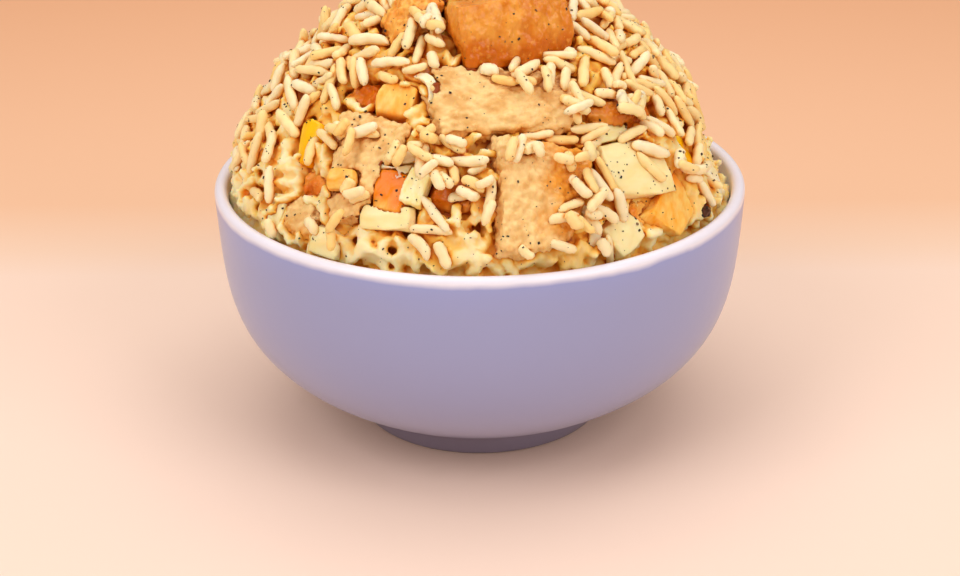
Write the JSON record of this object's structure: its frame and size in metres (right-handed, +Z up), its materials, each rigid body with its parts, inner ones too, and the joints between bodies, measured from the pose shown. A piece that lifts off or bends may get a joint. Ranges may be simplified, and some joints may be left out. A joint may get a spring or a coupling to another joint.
{
  "type": "chicken curry rice salad",
  "caption": "Glazed footed bowl heaped with curry-dressed rice salad: chicken chunks, diced fruit, sweetcorn, celery, onion and raisins set in a mound of long-grain rice.",
  "frame": {"origin": "middle of the bowl's foot, on the surface it stands on", "axes": "+Z up along the bowl's axis; -Y is the side that faces the picture's camera, with the tall sauce-coated chicken; +X to that camera's right"},
  "size_m": [0.13, 0.13, 0.114],
  "materials": {
    "bowl_glaze": "glossy pale lilac glaze outside, white glaze inside and on the rim",
    "rice": "moist cooked rice coated in a creamy curry dressing",
    "chicken_coated": "cooked chicken breast under creamy dressing, satin",
    "chicken_glazed": "cooked chicken with an orange curry glaze, moist",
    "chicken_browned": "browned, torn chicken, moist",
    "apple": "moist pale yellow-green fruit flesh",
    "pineapple": "moist orange-yellow fruit flesh",
    "celery": "moist pale green-yellow stalk",
    "onion": "moist translucent pale layer",
    "sweetcorn": "shiny yellow skin",
    "raisin": "dark wrinkled skin"
  },
  "bodies": {
    "root": {"bowl": "bowl_glaze", "rice_heap": "rice", "chicken_crown": "chicken_glazed", "chicken_torn": "chicken_browned", "chicken_slab": "chicken_coated", "chicken_front": "chicken_coated", "chicken_left": "chicken_coated", "chicken_right": "chicken_glazed", "chicken_hollow": "chicken_browned", "chicken_fibrous": "chicken_coated", "chicken_shoulder": "chicken_browned", "chicken_by_cube": "chicken_browned", "chicken_under_apple": "chicken_browned", "chicken_centre": "chicken_glazed", "chicken_back_right": "chicken_coated", "chicken_back_top": "chicken_glazed", "chicken_back_low": "chicken_coated", "chicken_back_left": "chicken_browned", "pineapple_cube": "pineapple", "pineapple_top": "pineapple", "pineapple_left": "pineapple", "pineapple_bit": "pineapple", "pineapple_right": "pineapple", "pineapple_back": "pineapple", "apple_right": "apple", "apple_low_right": "apple", "apple_wedge": "apple", "apple_low_left": "apple", "apple_back": "apple", "apple_back_low": "apple", "celery_right": "celery", "celery_left": "celery", "celery_rim": "celery", "celery_back": "celery", "onion_middle": "onion", "onion_below": "onion", "onion_low": "onion", "onion_upper": "onion", "onion_rim": "onion", "corn_left": "sweetcorn", "corn_top": "sweetcorn", "corn_shoulder": "sweetcorn", "corn_small": "sweetcorn", "corn_right": "sweetcorn", "corn_back_right": "sweetcorn", "corn_back_top": "sweetcorn", "corn_back_left": "sweetcorn", "raisin_right": "raisin", "raisin_back": "raisin"}
  },
  "joints": []
}
